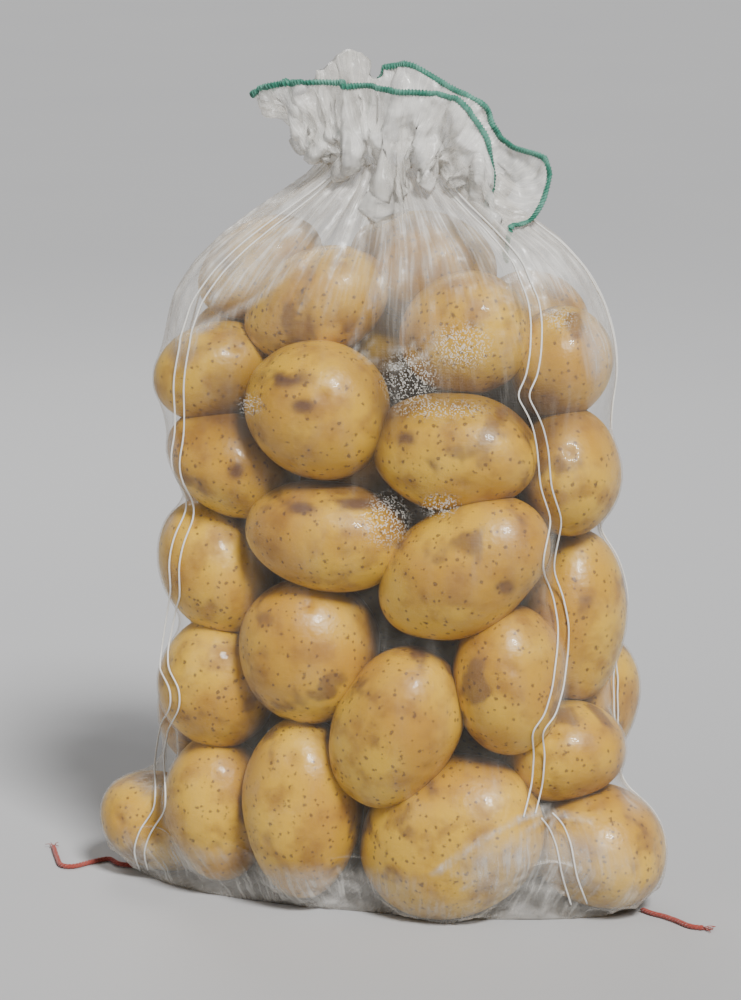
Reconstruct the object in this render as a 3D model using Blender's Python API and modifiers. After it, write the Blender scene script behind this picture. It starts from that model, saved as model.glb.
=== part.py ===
"""A sheer woven sack of potatoes, standing full on its base with its mouth gathered.

The sack is one flat tube of cloth, 300 mm wide and about 500 mm long, sewn shut across the
bottom. Filled, it stands on a flat base with a bulging ear at each bottom corner. The cloth
clings to the potatoes, runs up over the shoulders to a pleated neck and fans out into a
crumpled head with a green hem.

Tables are in millimetres and the model in metres. +Z is up, the front is -Y, and the origin is
the middle of the base. Columns of cloth are counted from the left side, round by the front.
"""

import math

import bmesh
import bpy
import numpy as np
from mathutils import Matrix

MM = 0.001

# The cloth
CLOTH_THICKNESS = 1.2
COLUMNS = 56
BASE_ROWS = 4
WALL_ROWS = 31
HEAD_ROWS = 7
SEAM_HALF_LENGTH = 112.0
SEAM_Y = 3.0
CLOTH_CLEARANCE = 2.9
SMALLEST_GAP = 0.35
MOST_OUT = 12.0
MOST_IN = 36.0
TIGHTENING_STEPS = 400
CLING = 0.35
RAY_STEP = 0.4

# The pleats are tightest at the neck and die out down the shoulders and up the head.
PLEATS = 14
PLEAT_DEPTH = 1.7
PLEAT_ROWS_DOWN = 8
PLEAT_FADE_DOWN = 55.0
PLEAT_FADE_UP = 0.6
HEAD_RUFFLE = 3.0
BROAD_FOLDS = 5
FINE_FOLDS = 9
FOLD_SHIFT = 0.8

HEM_GAP = 1.2
HEM_WIDTH = 2.6
HEM_THICKNESS = 1.6
YARN_RADIUS = 1.2
YARN_LIFT = 0.05

WHITE_CLOTH = (0.80, 0.77, 0.71)
GREEN_HEM = (0.03, 0.33, 0.20)
RED_YARN = (0.45, 0.07, 0.05)
POTATO_SKIN = (0.62, 0.38, 0.10)

# The walls, from the floor to the neck: the outline that the cloth is drawn in from.
# roundness 2 is an ellipse and more is boxier. hold is how firmly the cloth keeps this outline
# instead of being pulled tight over the potatoes.
SECTIONS = (
    # z, half_width, half_depth, roundness, middle_x, hold
    (0, 115, 51, 2.3, 0, 0.0),
    (8, 126, 62, 2.2, 0, 0.0),
    (24, 136, 71, 2.1, 0, 0.0),
    (48, 130, 75, 2.3, 0, 0.0),
    (75, 118, 76, 2.6, 0, 0.0),
    (130, 114, 76, 2.8, 0, 0.0),
    (190, 111, 75, 2.8, 0, 0.0),
    (235, 107, 72, 2.7, 1, 0.02),
    (256, 102, 67, 2.6, 1, 0.06),
    (274, 97, 60, 2.5, 0, 0.15),
    (288, 88, 52, 2.4, 1, 0.25),
    (299, 77, 44, 2.3, 2, 0.35),
    (308, 64, 36, 2.2, 2, 0.5),
    (317, 50, 28, 2.1, 2, 0.7),
    (325, 38, 20, 2.0, 2, 0.9),
    (333, 29, 13, 2.0, 1, 1.0),
)

# The head above the neck. turn goes round from the left side by the front. Each line of cloth
# runs from the neck through its crest to the hem. The front leans left, the flap hangs down on
# the right, and the hump at the back left stands highest.
HEAD = (
    # turn, hem_x, hem_y, hem_z, crest_x, crest_y, crest_z
    (0, -63, 0, 361, -45, 0, 344),
    (18, -53, -12, 366, -41, -13, 347),
    (38, -40, -20, 369, -31, -19, 349),
    (58, -26, -24, 370, -20, -22, 349),
    (78, -11, -27, 369, -8, -23, 349),
    (98, 6, -27, 368, 4, -22, 348),
    (114, 22, -24, 367, 15, -21, 348),
    (128, 37, -20, 365, 26, -19, 347),
    (140, 43, -16, 355, 33, -17, 342),
    (150, 51, -13, 343, 40, -16, 335),
    (159, 52, -21, 328, 41, -18, 328),
    (169, 59, -22, 310, 45, -18, 316),
    (179, 65, -10, 307, 48, -10, 311),
    (189, 72, -3, 318, 54, -3, 321),
    (199, 74, 4, 338, 54, 4, 327),
    (209, 53, 9, 339, 44, 9, 330),
    (222, 44, 15, 348, 32, 14, 343),
    (236, 39, 19, 358, 27, 17, 348),
    (252, 24, 24, 363, 17, 20, 352),
    (270, 2, 27, 375, 2, 21, 355),
    (282, -10, 29, 372, -6, 22, 357),
    (293, -19, 34, 374, -14, 23, 362),
    (305, -31, 35, 372, -24, 22, 365),
    (319, -43, 29, 368, -34, 18, 360),
    (338, -55, 15, 363, -42, 12, 350),
)

# The potatoes: where each lies, its half sizes, how its length rises to the right as seen from
# the front (tilt) and how it turns away from the front (swing), in degrees.
POTATOES = (
    # x, y, z, half_length, half_width, half_depth, tilt, swing
    (-73, -22, 238, 26, 21, 23, 15, 20),
    (-28, -18, 273, 33, 23, 24, 25, 0),
    (-19, -42, 231, 32, 29, 27, -10, 0),
    (48, -22, 261, 29, 26, 26, 20, -15),
    (82, -8, 249, 25, 20, 24, 80, 0),
    (43, -40, 211, 36, 25, 25, -3, 0),
    (90, -12, 203, 28, 19, 26, 90, 0),
    (-59, -30, 198, 30, 22, 24, -25, 10),
    (-71, -26, 149, 31, 24, 25, -60, 0),
    (-15, -42, 175, 36, 23, 24, -6, 0),
    (48, -44, 161, 40, 27, 25, 33, 0),
    (-18, -42, 118, 32, 30, 27, 90, 0),
    (-72, -28, 94, 29, 26, 25, 90, 0),
    (66, -36, 115, 33, 24, 25, 90, 0),
    (17, -46, 88, 37, 27, 25, 65, 0),
    (-28, -42, 49, 40, 26, 25, 90, 0),
    (-76, -24, 46, 33, 24, 25, 90, 0),
    (39, -40, 45, 40, 34, 28, 35, 0),
    (-102, -4, 24, 27, 21, 24, -20, 10),
    (102, -10, 29, 31, 26, 28, -10, -10),
    (88, -4, 135, 38, 21, 25, 90, 0),
    (86, -10, 77, 25, 21, 25, 20, 0),
    (-58, 4, 280, 29, 20, 24, 30, 0),
    (-72, 30, 28, 31, 25, 27, 10, -15),
    (-12, 36, 29, 35, 27, 28, -8, 0),
    (54, 34, 30, 33, 27, 28, 12, 10),
    (-80, 24, 78, 30, 24, 26, 70, 0),
    (-26, 36, 84, 34, 28, 28, 30, 0),
    (34, 38, 86, 33, 27, 27, -35, 0),
    (84, 28, 84, 30, 23, 25, 85, 0),
    (-74, 28, 134, 31, 26, 26, -50, 0),
    (-10, 38, 137, 36, 27, 27, 8, 0),
    (56, 36, 138, 33, 26, 27, 50, 0),
    (-70, 28, 186, 31, 25, 26, 20, -15),
    (-8, 36, 188, 34, 27, 27, -12, 0),
    (52, 34, 190, 33, 26, 27, -30, 0),
    (-66, 26, 236, 30, 24, 25, -15, -10),
    (-4, 34, 240, 34, 26, 27, 20, 0),
    (56, 30, 238, 31, 25, 26, 75, 0),
    (14, 10, 284, 30, 21, 24, -10, 0),
)
POTATO_SEGMENTS = 12
POTATO_RINGS = 7
POTATO_TAPER = 0.10
POTATO_LUMPS = 0.05

# How the potatoes are packed. Those that show at the front keep their places across and up, and
# give way in depth. Those behind them are a little larger than the table says, to fill the sack.
SHOWN_AT_FRONT = 23
FRONT_YIELD = (0.12, 1.0, 0.12)
BEHIND_SIZE = 1.06
PACKING_STEPS = 700
PULL_HOME = 0.03
PUSH_APART = 0.8
PACKING_MARGIN = 0.15
TOUCHING_RANGE = 85.0
SEPARATING_WAYS = 300
WALL_WAYS = 24

# The closing yarn's two loose ends lie on the floor, from the ears outwards.
YARN_LEFT = (
    (-121, -6),
    (-128, -5),
    (-135, 1),
    (-141, -5),
    (-147, -14),
    (-153, -14),
    (-159, -3),
    (-166, 12),
)
YARN_RIGHT = ((121, -10), (126, -14), (132, -17), (139, -22), (146, -28), (152, -29))


def clear_scene():
    for obj in list(bpy.data.objects):
        bpy.data.objects.remove(obj, do_unlink=True)


def make_material(name, colour, roughness, alpha=1.0):
    material = bpy.data.materials.new(name)
    material.use_nodes = True
    shader = material.node_tree.nodes["Principled BSDF"]
    shader.inputs["Base Color"].default_value = (*colour, 1.0)
    shader.inputs["Roughness"].default_value = roughness
    shader.inputs["Metallic"].default_value = 0.0
    shader.inputs["Alpha"].default_value = alpha
    return material


def columns_of(table):
    """A table's columns, each as an array."""
    return np.array(table, float).T


def potato_outline(unit):
    """How far a potato's skin lies along each direction of its unit ball: blunt and uneven."""
    along = unit[..., 2]
    lumps = np.sin(3.1 * unit[..., 0] + 1.0) * np.sin(2.7 * unit[..., 1] + 2.0 * along)
    return 1.0 - POTATO_TAPER * (0.5 + 0.5 * along) ** 2 - POTATO_LUMPS * (0.5 + 0.5 * lumps)


def potato_frame(tilt, swing):
    """Columns: a potato's depth, width and length axes."""
    turned = Matrix.Rotation(math.radians(swing), 3, "Z") @ Matrix.Rotation(
        math.radians(90 - tilt), 3, "Y"
    )
    return np.array(turned @ Matrix.Rotation(math.radians(90), 3, "Z"))


class Potato:
    def __init__(self, size, x, y, z, half_length, half_width, half_depth, tilt, swing):
        self.place = np.array((x, y, z), float)
        half_sizes = np.array((half_depth, half_width, half_length)) * size
        self.frame = potato_frame(tilt, swing) @ np.diag(half_sizes)
        self.inverse = np.linalg.inv(self.frame)
        self.reach = half_sizes.max()
        self.mesh = bmesh.new()
        bmesh.ops.create_uvsphere(
            self.mesh, u_segments=POTATO_SEGMENTS, v_segments=POTATO_RINGS, radius=1.0
        )
        unit = np.array([vertex.co for vertex in self.mesh.verts])
        unit /= np.linalg.norm(unit, axis=1)[:, None]
        self.skin = (unit * potato_outline(unit)[:, None]) @ self.frame.T

    def nearer_than(self, points, clearance):
        """Which points are inside the skin, or nearer to it than clearance."""
        inside = (points - self.place) @ self.inverse.T
        radius = np.linalg.norm(inside, axis=-1)
        unit = inside / np.maximum(radius, 1e-6)[..., None]
        wanted = potato_outline(unit) + clearance / np.linalg.norm(unit @ self.frame.T, axis=-1)
        return radius < wanted


def directions(count):
    """Evenly spread directions, and then their opposites."""
    step = np.arange(count)
    height = 1 - (step + 0.5) / count
    turn = step * math.pi * (3 - math.sqrt(5))
    flat = np.sqrt(1 - height**2)
    half = np.column_stack((flat * np.cos(turn), flat * np.sin(turn), height))
    return np.vstack((half, -half))


def room_at(heights, ways):
    """How far the walls reach from the sack's axis at these heights in these level directions."""
    z, width, depth, roundness, middle, _ = columns_of(SECTIONS)
    power = np.interp(heights, z, roundness)
    power = (power / (power - 1))[:, None]
    wide = np.interp(heights, z, width)[:, None] * np.abs(ways[:, 0])
    deep = np.interp(heights, z, depth)[:, None] * np.abs(ways[:, 1])
    return (wide**power + deep**power) ** (1 / power) + np.outer(
        np.interp(heights, z, middle), ways[:, 0]
    )


def settle(potatoes):
    """Nudges the potatoes apart until none touch, inside the walls and above the base."""
    ways = directions(SEPARATING_WAYS)
    half = len(ways) // 2
    opposite = np.roll(np.arange(len(ways)), half)
    support = np.array([(potato.skin @ ways.T).max(0) for potato in potatoes])
    lowest = np.array([potato.skin[:, 2].min() for potato in potatoes])
    turns = np.linspace(0, 2 * math.pi, WALL_WAYS, endpoint=False)
    level = np.column_stack((np.cos(turns), np.sin(turns)))
    level_support = np.array([(potato.skin[:, :2] @ level.T).max(0) for potato in potatoes])
    home = np.array([potato.place for potato in potatoes])
    place = home.copy()
    yielding = np.ones_like(home)
    yielding[:SHOWN_AT_FRONT] = FRONT_YIELD
    first, second = np.triu_indices(len(potatoes), 1)
    for step in range(PACKING_STEPS):
        slack = max(0.0, 1 - 1.5 * step / PACKING_STEPS)
        place += PULL_HOME * slack * (home - place)
        apart = place[second] - place[first]
        near = np.flatnonzero(np.linalg.norm(apart, axis=1) < TOUCHING_RANGE)
        i, j = first[near], second[near]
        gaps = apart[near] @ ways.T - support[i] - support[j][:, opposite]
        best = gaps.argmax(1)
        wanted = SMALLEST_GAP + PACKING_MARGIN
        lacking = np.maximum(0, wanted - gaps[np.arange(len(near)), best])
        push = PUSH_APART * lacking[:, None] * ways[best]
        both = yielding[i] + yielding[j]
        np.add.at(place, i, -push * yielding[i] / both)
        np.add.at(place, j, push * yielding[j] / both)
        room = room_at(place[:, 2], level) - CLOTH_CLEARANCE - SMALLEST_GAP
        over = np.maximum(0, place[:, :2] @ level.T + level_support - room)
        worst = over.argmax(1)
        amount = over[np.arange(len(over)), worst]
        place[:, :2] -= amount[:, None] * level[worst]
        floor = CLOTH_CLEARANCE - lowest
        place[:, 2] = np.maximum(place[:, 2], floor)
    for potato, where in zip(potatoes, place):
        potato.place = where
    apart = place[second] - place[first]
    gaps = apart @ ways.T - support[first] - support[second][:, opposite]
    print(f"smallest gap between potatoes {gaps.max(1).min():.2f} mm")
    print(f"largest move from the table {np.linalg.norm(place - home, axis=1).max():.1f} mm")


def ring(half_width, half_depth, roundness, middle_x):
    """COLUMNS points round an outline, evenly spaced, from the left side by the front."""
    turn = np.linspace(math.pi, 3 * math.pi, 1441)
    cos, sin = np.cos(turn), np.sin(turn)
    x = half_width * np.sign(cos) * np.abs(cos) ** (2 / roundness)
    y = half_depth * np.sign(sin) * np.abs(sin) ** (2 / roundness)
    length = np.concatenate(([0], np.cumsum(np.hypot(np.diff(x), np.diff(y)))))
    at = np.linspace(0, length[-1], COLUMNS + 1)[:-1]
    return np.column_stack((np.interp(at, length, x) + middle_x, np.interp(at, length, y)))


def base_rows():
    """From the bottom seam, which lies along the middle, out to the rim of the base."""
    around = np.arange(COLUMNS)
    along = 1 - np.abs(1 - around * 2 / COLUMNS)
    seam = np.column_stack(
        (SEAM_HALF_LENGTH * (2 * along - 1), np.full(COLUMNS, SEAM_Y), np.zeros(COLUMNS))
    )
    rim = np.column_stack((ring(*SECTIONS[0][1:5]), np.zeros(COLUMNS)))
    return [seam + (rim - seam) * row / BASE_ROWS for row in range(BASE_ROWS)]


def wall_rows():
    """From the rim of the base to the neck, evenly spaced up the side. Also each row's hold."""
    z, width, depth, roundness, middle, hold = columns_of(SECTIONS)
    length = np.concatenate(([0], np.cumsum(np.hypot(np.diff(width), np.diff(z)))))
    rows, holds = [], []
    for at in np.linspace(0, length[-1], WALL_ROWS):
        values = [np.interp(at, length, column) for column in (width, depth, roundness, middle)]
        outline = ring(*values)
        height = np.full((COLUMNS, 1), np.interp(at, length, z))
        rows.append(np.hstack((outline, height)))
        holds.append(np.interp(at, length, hold))
    return rows, holds


def soften(values):
    """Each value of a closed line, averaged with its neighbours."""
    return (np.roll(values, 1, axis=0) + 2 * values + np.roll(values, -1, axis=0)) / 4


def head_rows(neck):
    """From the neck through the crest to the hem."""
    turn, *points = columns_of(HEAD)
    at = np.arange(COLUMNS) * 360 / COLUMNS
    smooth = [soften(soften(np.interp(at, turn, column, period=360))) for column in points]
    hem = np.column_stack(smooth[:3])
    crest = np.column_stack(smooth[3:])
    rows = []
    for row in range(1, HEAD_ROWS + 1):
        t = row / HEAD_ROWS
        # A parabola through the neck, the crest halfway and the hem
        rows.append(
            neck * (1 - t) * (1 - 2 * t) + crest * 4 * t * (1 - t) + hem * t * (2 * t - 1)
        )
    return rows


def outward(rows):
    """The cloth's outward direction at each point, for a grid of rows by columns."""
    round_it = np.roll(rows, -1, axis=1) - np.roll(rows, 1, axis=1)
    up = np.gradient(rows, axis=0)
    normal = np.cross(round_it, up)
    return normal / np.maximum(np.linalg.norm(normal, axis=2), 1e-6)[:, :, None]


def add_pleats(rows):
    """Gathers the neck into pleats, and ruffles the head."""
    turn = np.arange(COLUMNS) * 2 * math.pi / COLUMNS
    wave = np.cos(PLEATS * turn)
    broad = np.cos(FINE_FOLDS * turn + FOLD_SHIFT) + 0.5 * np.cos(BROAD_FOLDS * turn)
    neck_row = len(rows) - HEAD_ROWS - 1
    neck_z = rows[neck_row, :, 2].mean()
    normal = outward(rows)
    for row in range(neck_row - PLEAT_ROWS_DOWN, len(rows)):
        below = max(0.0, neck_z - rows[row, :, 2].mean())
        above = max(0, row - neck_row) / HEAD_ROWS
        depth = PLEAT_DEPTH * max(0.0, 1 - below / PLEAT_FADE_DOWN)
        depth *= 1 - PLEAT_FADE_UP * above
        ruffle = HEAD_RUFFLE * above * (1.2 - above)
        rows[row] += normal[row] * (depth * wave + ruffle * broad)[:, None]
    return rows


def deepest(points, inward, potatoes):
    """How far each point can move inwards before the cloth would touch a potato."""
    steps = np.arange(-MOST_OUT, MOST_IN, RAY_STEP)
    limit = np.full(len(points), MOST_IN)
    for potato in potatoes:
        reach = potato.reach + CLOTH_CLEARANCE + MOST_IN
        near = np.flatnonzero(np.linalg.norm(points - potato.place, axis=1) < reach)
        path = points[near, None] + steps[:, None] * inward[near, None]
        touched = potato.nearer_than(path, CLOTH_CLEARANCE)
        first = np.where(touched.any(1), steps[touched.argmax(1)] - RAY_STEP, MOST_IN)
        limit[near] = np.minimum(limit[near], first)
    return limit


def draw_tight(rows, holds, potatoes):
    """Pulls the walls in over the potatoes. The base, neck and head stay as they are."""
    first = BASE_ROWS
    last = BASE_ROWS + WALL_ROWS - 1
    moving = slice(first + 1, last)
    shape = rows.copy()
    inward = -outward(shape)
    hold = np.array(holds)[1:-1, None]
    limit = deepest(shape[moving].reshape(-1, 3), inward[moving].reshape(-1, 3), potatoes)
    limit = limit.reshape(-1, COLUMNS)
    for _ in range(TIGHTENING_STEPS):
        round_it = np.roll(rows, 1, axis=1) + np.roll(rows, -1, axis=1)
        up = np.roll(rows, 1, axis=0) + np.roll(rows, -1, axis=0)
        pulled = 0.5 * rows + 0.125 * (round_it + up)
        depth = ((pulled - shape)[moving] * inward[moving]).sum(2) + CLING * (1 - hold)
        depth = np.minimum(depth * (1 - 0.5 * hold), limit)
        rows[moving] = shape[moving] + depth[:, :, None] * inward[moving]
        rows[:, :, 2] = np.maximum(rows[:, :, 2], 0)
    return rows


def cloth_rows(potatoes):
    walls, holds = wall_rows()
    rows = np.array(base_rows() + walls + head_rows(walls[-1]))
    rows = draw_tight(rows, holds, potatoes)
    return add_pleats(rows)


def wrapped_mesh(name, rows):
    """A flat grid of cloth, wrapped so that its sides meet. Points that coincide are sewn."""
    mesh = bmesh.new()
    tall = len(rows)
    bmesh.ops.create_grid(mesh, x_segments=COLUMNS, y_segments=tall - 1, size=0.5)
    for vertex in mesh.verts:
        column = round((vertex.co.x + 0.5) * COLUMNS) % COLUMNS
        row = round((vertex.co.y + 0.5) * (tall - 1))
        vertex.co = rows[row, column] * MM
    bmesh.ops.remove_doubles(mesh, verts=mesh.verts, dist=0.02 * MM)
    data = bpy.data.meshes.new(name)
    mesh.to_mesh(data)
    mesh.free()
    return data


def place(collection, obj, material):
    obj.data.materials.append(material)
    collection.objects.link(obj)
    return obj


def shell(name, rows, thickness):
    """A wall of this thickness, inside the surface that the rows give."""
    data = wrapped_mesh(name, rows)
    data.shade_smooth()
    obj = bpy.data.objects.new(name, data)
    wall = obj.modifiers.new("thickness", "SOLIDIFY")
    wall.thickness = thickness * MM
    wall.offset = -1.0
    return obj


def make_tube(name, points, radius, resolution):
    """A cord through these points."""
    curve = bpy.data.curves.new(name, "CURVE")
    curve.dimensions = "3D"
    spline = curve.splines.new("POLY")
    spline.points.add(len(points) - 1)
    for point, where in zip(spline.points, points):
        point.co = (*(where * MM), 1.0)
    curve.bevel_depth = radius * MM
    curve.bevel_resolution = resolution
    curve.use_fill_caps = True
    return bpy.data.objects.new(name, curve)


def make_hem(collection, rows):
    """The overlocked edge is a band that carries on from the rim of the mouth."""
    rim = rows[-1]
    up = rows[-1] - rows[-2]
    up /= np.linalg.norm(up, axis=1)[:, None]
    up = soften(up)
    band = np.array([rim + up * HEM_GAP, rim + up * (HEM_GAP + HEM_WIDTH)])
    band += outward(rows)[-1] * (HEM_THICKNESS - CLOTH_THICKNESS) / 2
    hem = shell("hem_binding", band, HEM_THICKNESS)
    place(collection, hem, make_material("green_overlock", GREEN_HEM, 0.6))


def smooth_route(corners, spacing):
    """Points along a smooth curve through the corners, on the floor."""
    corners = np.array([(x, y, YARN_RADIUS + YARN_LIFT) for x, y in corners])
    before = 2 * corners[0] - corners[1]
    after = 2 * corners[-1] - corners[-2]
    padded = np.vstack((before, corners, after))
    route = []
    for a, b, c, d in zip(padded, padded[1:], padded[2:], padded[3:]):
        steps = max(2, round(np.linalg.norm(c - b) / spacing))
        for t in np.arange(steps) / steps:
            route.append(
                0.5
                * (
                    2 * b
                    + (c - a) * t
                    + (2 * a - 5 * b + 4 * c - d) * t**2
                    + (3 * b - a - 3 * c + d) * t**3
                )
            )
    route.append(corners[-1])
    return np.array(route)


def make_yarn(collection, name, corners, material):
    route = smooth_route(corners, 2.5 * 2 * YARN_RADIUS)
    place(collection, make_tube(name, route, YARN_RADIUS, 2), material)
    print(f"{name} {np.linalg.norm(np.diff(route, axis=0), axis=1).sum():.0f} mm long")


def make_potato(collection, name, potato, material):
    for vertex, skin in zip(potato.mesh.verts, potato.skin):
        vertex.co = skin * MM
    data = bpy.data.meshes.new(name)
    potato.mesh.to_mesh(data)
    potato.mesh.free()
    data.shade_smooth()
    obj = place(collection, bpy.data.objects.new(name, data), material)
    obj.location = potato.place * MM


def main():
    clear_scene()
    collection = bpy.data.collections.new("potato_sack")
    bpy.context.scene.collection.children.link(collection)
    potatoes = [Potato(1.0, *row) for row in POTATOES[:SHOWN_AT_FRONT]]
    potatoes += [Potato(BEHIND_SIZE, *row) for row in POTATOES[SHOWN_AT_FRONT:]]
    settle(potatoes)
    rows = cloth_rows(potatoes)
    cloth = shell("sack_cloth", rows, CLOTH_THICKNESS)
    place(collection, cloth, make_material("sheer_cloth", WHITE_CLOTH, 0.45, 0.4))
    make_hem(collection, rows)
    red = make_material("red_yarn", RED_YARN, 0.7)
    make_yarn(collection, "closing_yarn_left", YARN_LEFT, red)
    make_yarn(collection, "closing_yarn_right", YARN_RIGHT, red)
    skin = make_material("potato_skin", POTATO_SKIN, 0.5)
    for number, potato in enumerate(potatoes, 1):
        make_potato(collection, f"potato_{number:02d}", potato, skin)


main()
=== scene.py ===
# %% [markdown]
# # A sheer sack of potatoes
#
# The real thing is a tube of thin woven plastic cloth, sewn shut across the bottom, filled with
# forty potatoes and gathered at its neck. Above the neck the loose cloth fans out into a
# crumpled head with a green overlocked hem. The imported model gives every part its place, and
# this script adds the fine cloth, the skins, the stitches and the light.

# %% Load the frame
import math

import bpy
import numpy as np
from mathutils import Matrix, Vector, noise
from mathutils.bvhtree import BVHTree
from numpy.linalg import norm


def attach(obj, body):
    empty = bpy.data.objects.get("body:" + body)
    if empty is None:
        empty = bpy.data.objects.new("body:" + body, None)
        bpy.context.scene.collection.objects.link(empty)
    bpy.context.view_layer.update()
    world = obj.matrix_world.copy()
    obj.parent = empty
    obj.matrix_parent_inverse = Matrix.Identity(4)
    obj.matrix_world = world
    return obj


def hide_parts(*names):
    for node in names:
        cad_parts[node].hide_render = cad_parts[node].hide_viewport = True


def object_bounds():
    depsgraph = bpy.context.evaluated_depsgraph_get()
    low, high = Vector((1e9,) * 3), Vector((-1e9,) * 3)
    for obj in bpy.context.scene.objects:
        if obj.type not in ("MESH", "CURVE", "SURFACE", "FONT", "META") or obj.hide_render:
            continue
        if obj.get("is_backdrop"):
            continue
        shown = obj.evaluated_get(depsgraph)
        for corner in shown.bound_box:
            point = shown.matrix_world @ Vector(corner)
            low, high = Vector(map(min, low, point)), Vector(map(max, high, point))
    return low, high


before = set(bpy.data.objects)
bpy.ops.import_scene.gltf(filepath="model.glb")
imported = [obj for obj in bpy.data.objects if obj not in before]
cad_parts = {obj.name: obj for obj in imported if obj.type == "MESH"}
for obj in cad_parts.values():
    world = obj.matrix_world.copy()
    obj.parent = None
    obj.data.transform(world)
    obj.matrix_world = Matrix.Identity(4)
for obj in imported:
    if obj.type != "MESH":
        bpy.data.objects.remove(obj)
CAD_BOX = [list(map(float, corner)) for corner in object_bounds()]
bpy.ops.object.select_all(action="DESELECT")
POTATO_NAMES = sorted(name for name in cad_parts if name.startswith("potato_"))
print(len(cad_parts), "CAD nodes,", len(POTATO_NAMES), "of them potatoes")

# %% [markdown]
# ## The camera
#
# The photograph looks at the sack from slightly above and from its right. A long lens from
# 1.8 m gives the same low perspective. The same numbers later find the place on the cloth that
# shows at a pixel of the photograph, which puts each crease and thread where it is there.

# %% The camera
PHOTO_SIZE = np.array((741.0, 1000.0))
AZIMUTH = math.radians(15)
ELEVATION = math.radians(12)
DISTANCE = 1.8
LENS = 144.0
SENSOR = 36.0
TARGET = np.array((-0.0079, 0.0, 0.180))


def direction(azimuth, elevation):
    """From the sack towards an azimuth, counted from the front to the right."""
    level = math.cos(elevation)
    return np.array((math.sin(azimuth) * level, -math.cos(azimuth) * level, math.sin(elevation)))


backwards = direction(AZIMUTH, ELEVATION)
rightwards = np.array((math.cos(AZIMUTH), math.sin(AZIMUTH), 0.0))
upwards = np.cross(backwards, rightwards)
EYE = TARGET + DISTANCE * backwards
PIXELS = LENS / SENSOR * PHOTO_SIZE.max()

bpy.ops.object.camera_add(location=EYE, rotation=(math.pi / 2 - ELEVATION, 0, AZIMUTH))
camera = bpy.context.object
camera.data.lens = LENS
camera.data.sensor_width = SENSOR
camera.data.clip_start = 0.05
bpy.context.scene.camera = camera


def to_photo(points):
    """Where points in metres show in the photograph, in its pixels."""
    seen = points - EYE
    away = -(seen @ backwards)
    across = PHOTO_SIZE[0] / 2 + PIXELS * (seen @ rightwards) / away
    down = PHOTO_SIZE[1] / 2 - PIXELS * (seen @ upwards) / away
    return np.stack((across, down), axis=-1)


def sight_line(pixel):
    """The direction from the camera through a pixel of the photograph."""
    x, y = (np.array(pixel) - PHOTO_SIZE / 2) / PIXELS
    return Vector(-backwards + x * rightwards - y * upwards).normalized()


print("camera at", EYE.round(3), "m")

# %% [markdown]
# ## Helpers for meshes
#
# Most pieces start as a Blender primitive or a copy of a CAD node. These helpers hand a mesh's
# points to numpy and back, run an edit-mode operator on all of it, and apply a modifier.

# %% Mesh helpers
MM = 0.001


def points_of(obj):
    found = np.empty(len(obj.data.vertices) * 3)
    obj.data.vertices.foreach_get("co", found)
    return found.reshape(-1, 3)


def move_points(obj, points):
    obj.data.vertices.foreach_set("co", np.asarray(points, float).ravel())
    obj.data.update()


def normals_of(obj):
    found = np.empty(len(obj.data.vertices) * 3)
    obj.data.vertex_normals.foreach_get("vector", found)
    return found.reshape(-1, 3)


def only(obj):
    """Makes this the one selected and active object."""
    bpy.ops.object.select_all(action="DESELECT")
    obj.select_set(True)
    bpy.context.view_layer.objects.active = obj


def edit_all(obj, *steps):
    """Runs edit-mode operators on the whole mesh, each with its settings."""
    only(obj)
    bpy.ops.object.mode_set(mode="EDIT")
    bpy.ops.mesh.select_all(action="SELECT")
    for operator, settings in steps:
        operator(**settings)
    bpy.ops.object.mode_set(mode="OBJECT")


def apply_modifier(obj, kind, **settings):
    only(obj)
    modifier = obj.modifiers.new(kind.title(), kind)
    for name, value in settings.items():
        setattr(modifier, name, value)
    bpy.ops.object.modifier_apply(modifier=modifier.name)


def copy_of(node, name):
    """A CAD node's shape as a new object, with its loose triangles merged."""
    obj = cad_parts[node].copy()
    obj.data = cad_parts[node].data.copy()
    obj.name = name
    obj.data.name = name
    obj.data.materials.clear()
    bpy.context.scene.collection.objects.link(obj)
    edit_all(obj, (bpy.ops.mesh.remove_doubles, {"threshold": 0.01 * MM}))
    return obj


def paint(obj, name, values):
    """Keeps a number for each point, which a material can read."""
    attribute = obj.data.attributes.new(name, "FLOAT", "POINT")
    attribute.data.foreach_set("value", np.asarray(values, float))


def eased(values, low, high):
    """A soft step from 0 at low to 1 at high."""
    t = np.clip((np.asarray(values, float) - low) / (high - low), 0, 1)
    return t * t * (3 - 2 * t)


def facing_camera(normals):
    """1 where a surface faces the camera, and 0 at its outline and behind it."""
    return eased(normals @ backwards, 0.0, 0.3)


# %% [markdown]
# ## Shader maths as sums
#
# Most nodes of a material only add, multiply or compare. `Socket` wraps an output, so that
# `0.5 + 0.2 * spots` adds the Math nodes. `Finish` owns a material and makes any other node.

# %% Sockets and finishes
def maths(operation):
    return lambda first, second: first.math(operation, second)


class Socket:
    def __init__(self, finish, socket):
        self.finish = finish
        self.socket = socket

    def math(self, operation, *others):
        values = dict(enumerate((self, *others)))
        return self.finish.node("Math", {"operation": operation}, values)

    __add__ = __radd__ = maths("ADD")
    __mul__ = __rmul__ = maths("MULTIPLY")
    __sub__ = maths("SUBTRACT")
    __gt__ = maths("GREATER_THAN")

    def __rsub__(self, other):
        return self.finish.node("Math", {"operation": "SUBTRACT"}, {0: other, 1: self})

    def step(self, low, high):
        values = {"Value": self, "From Min": low, "From Max": high}
        return self.finish.node("MapRange", {"interpolation_type": "SMOOTHSTEP"}, values)


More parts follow.
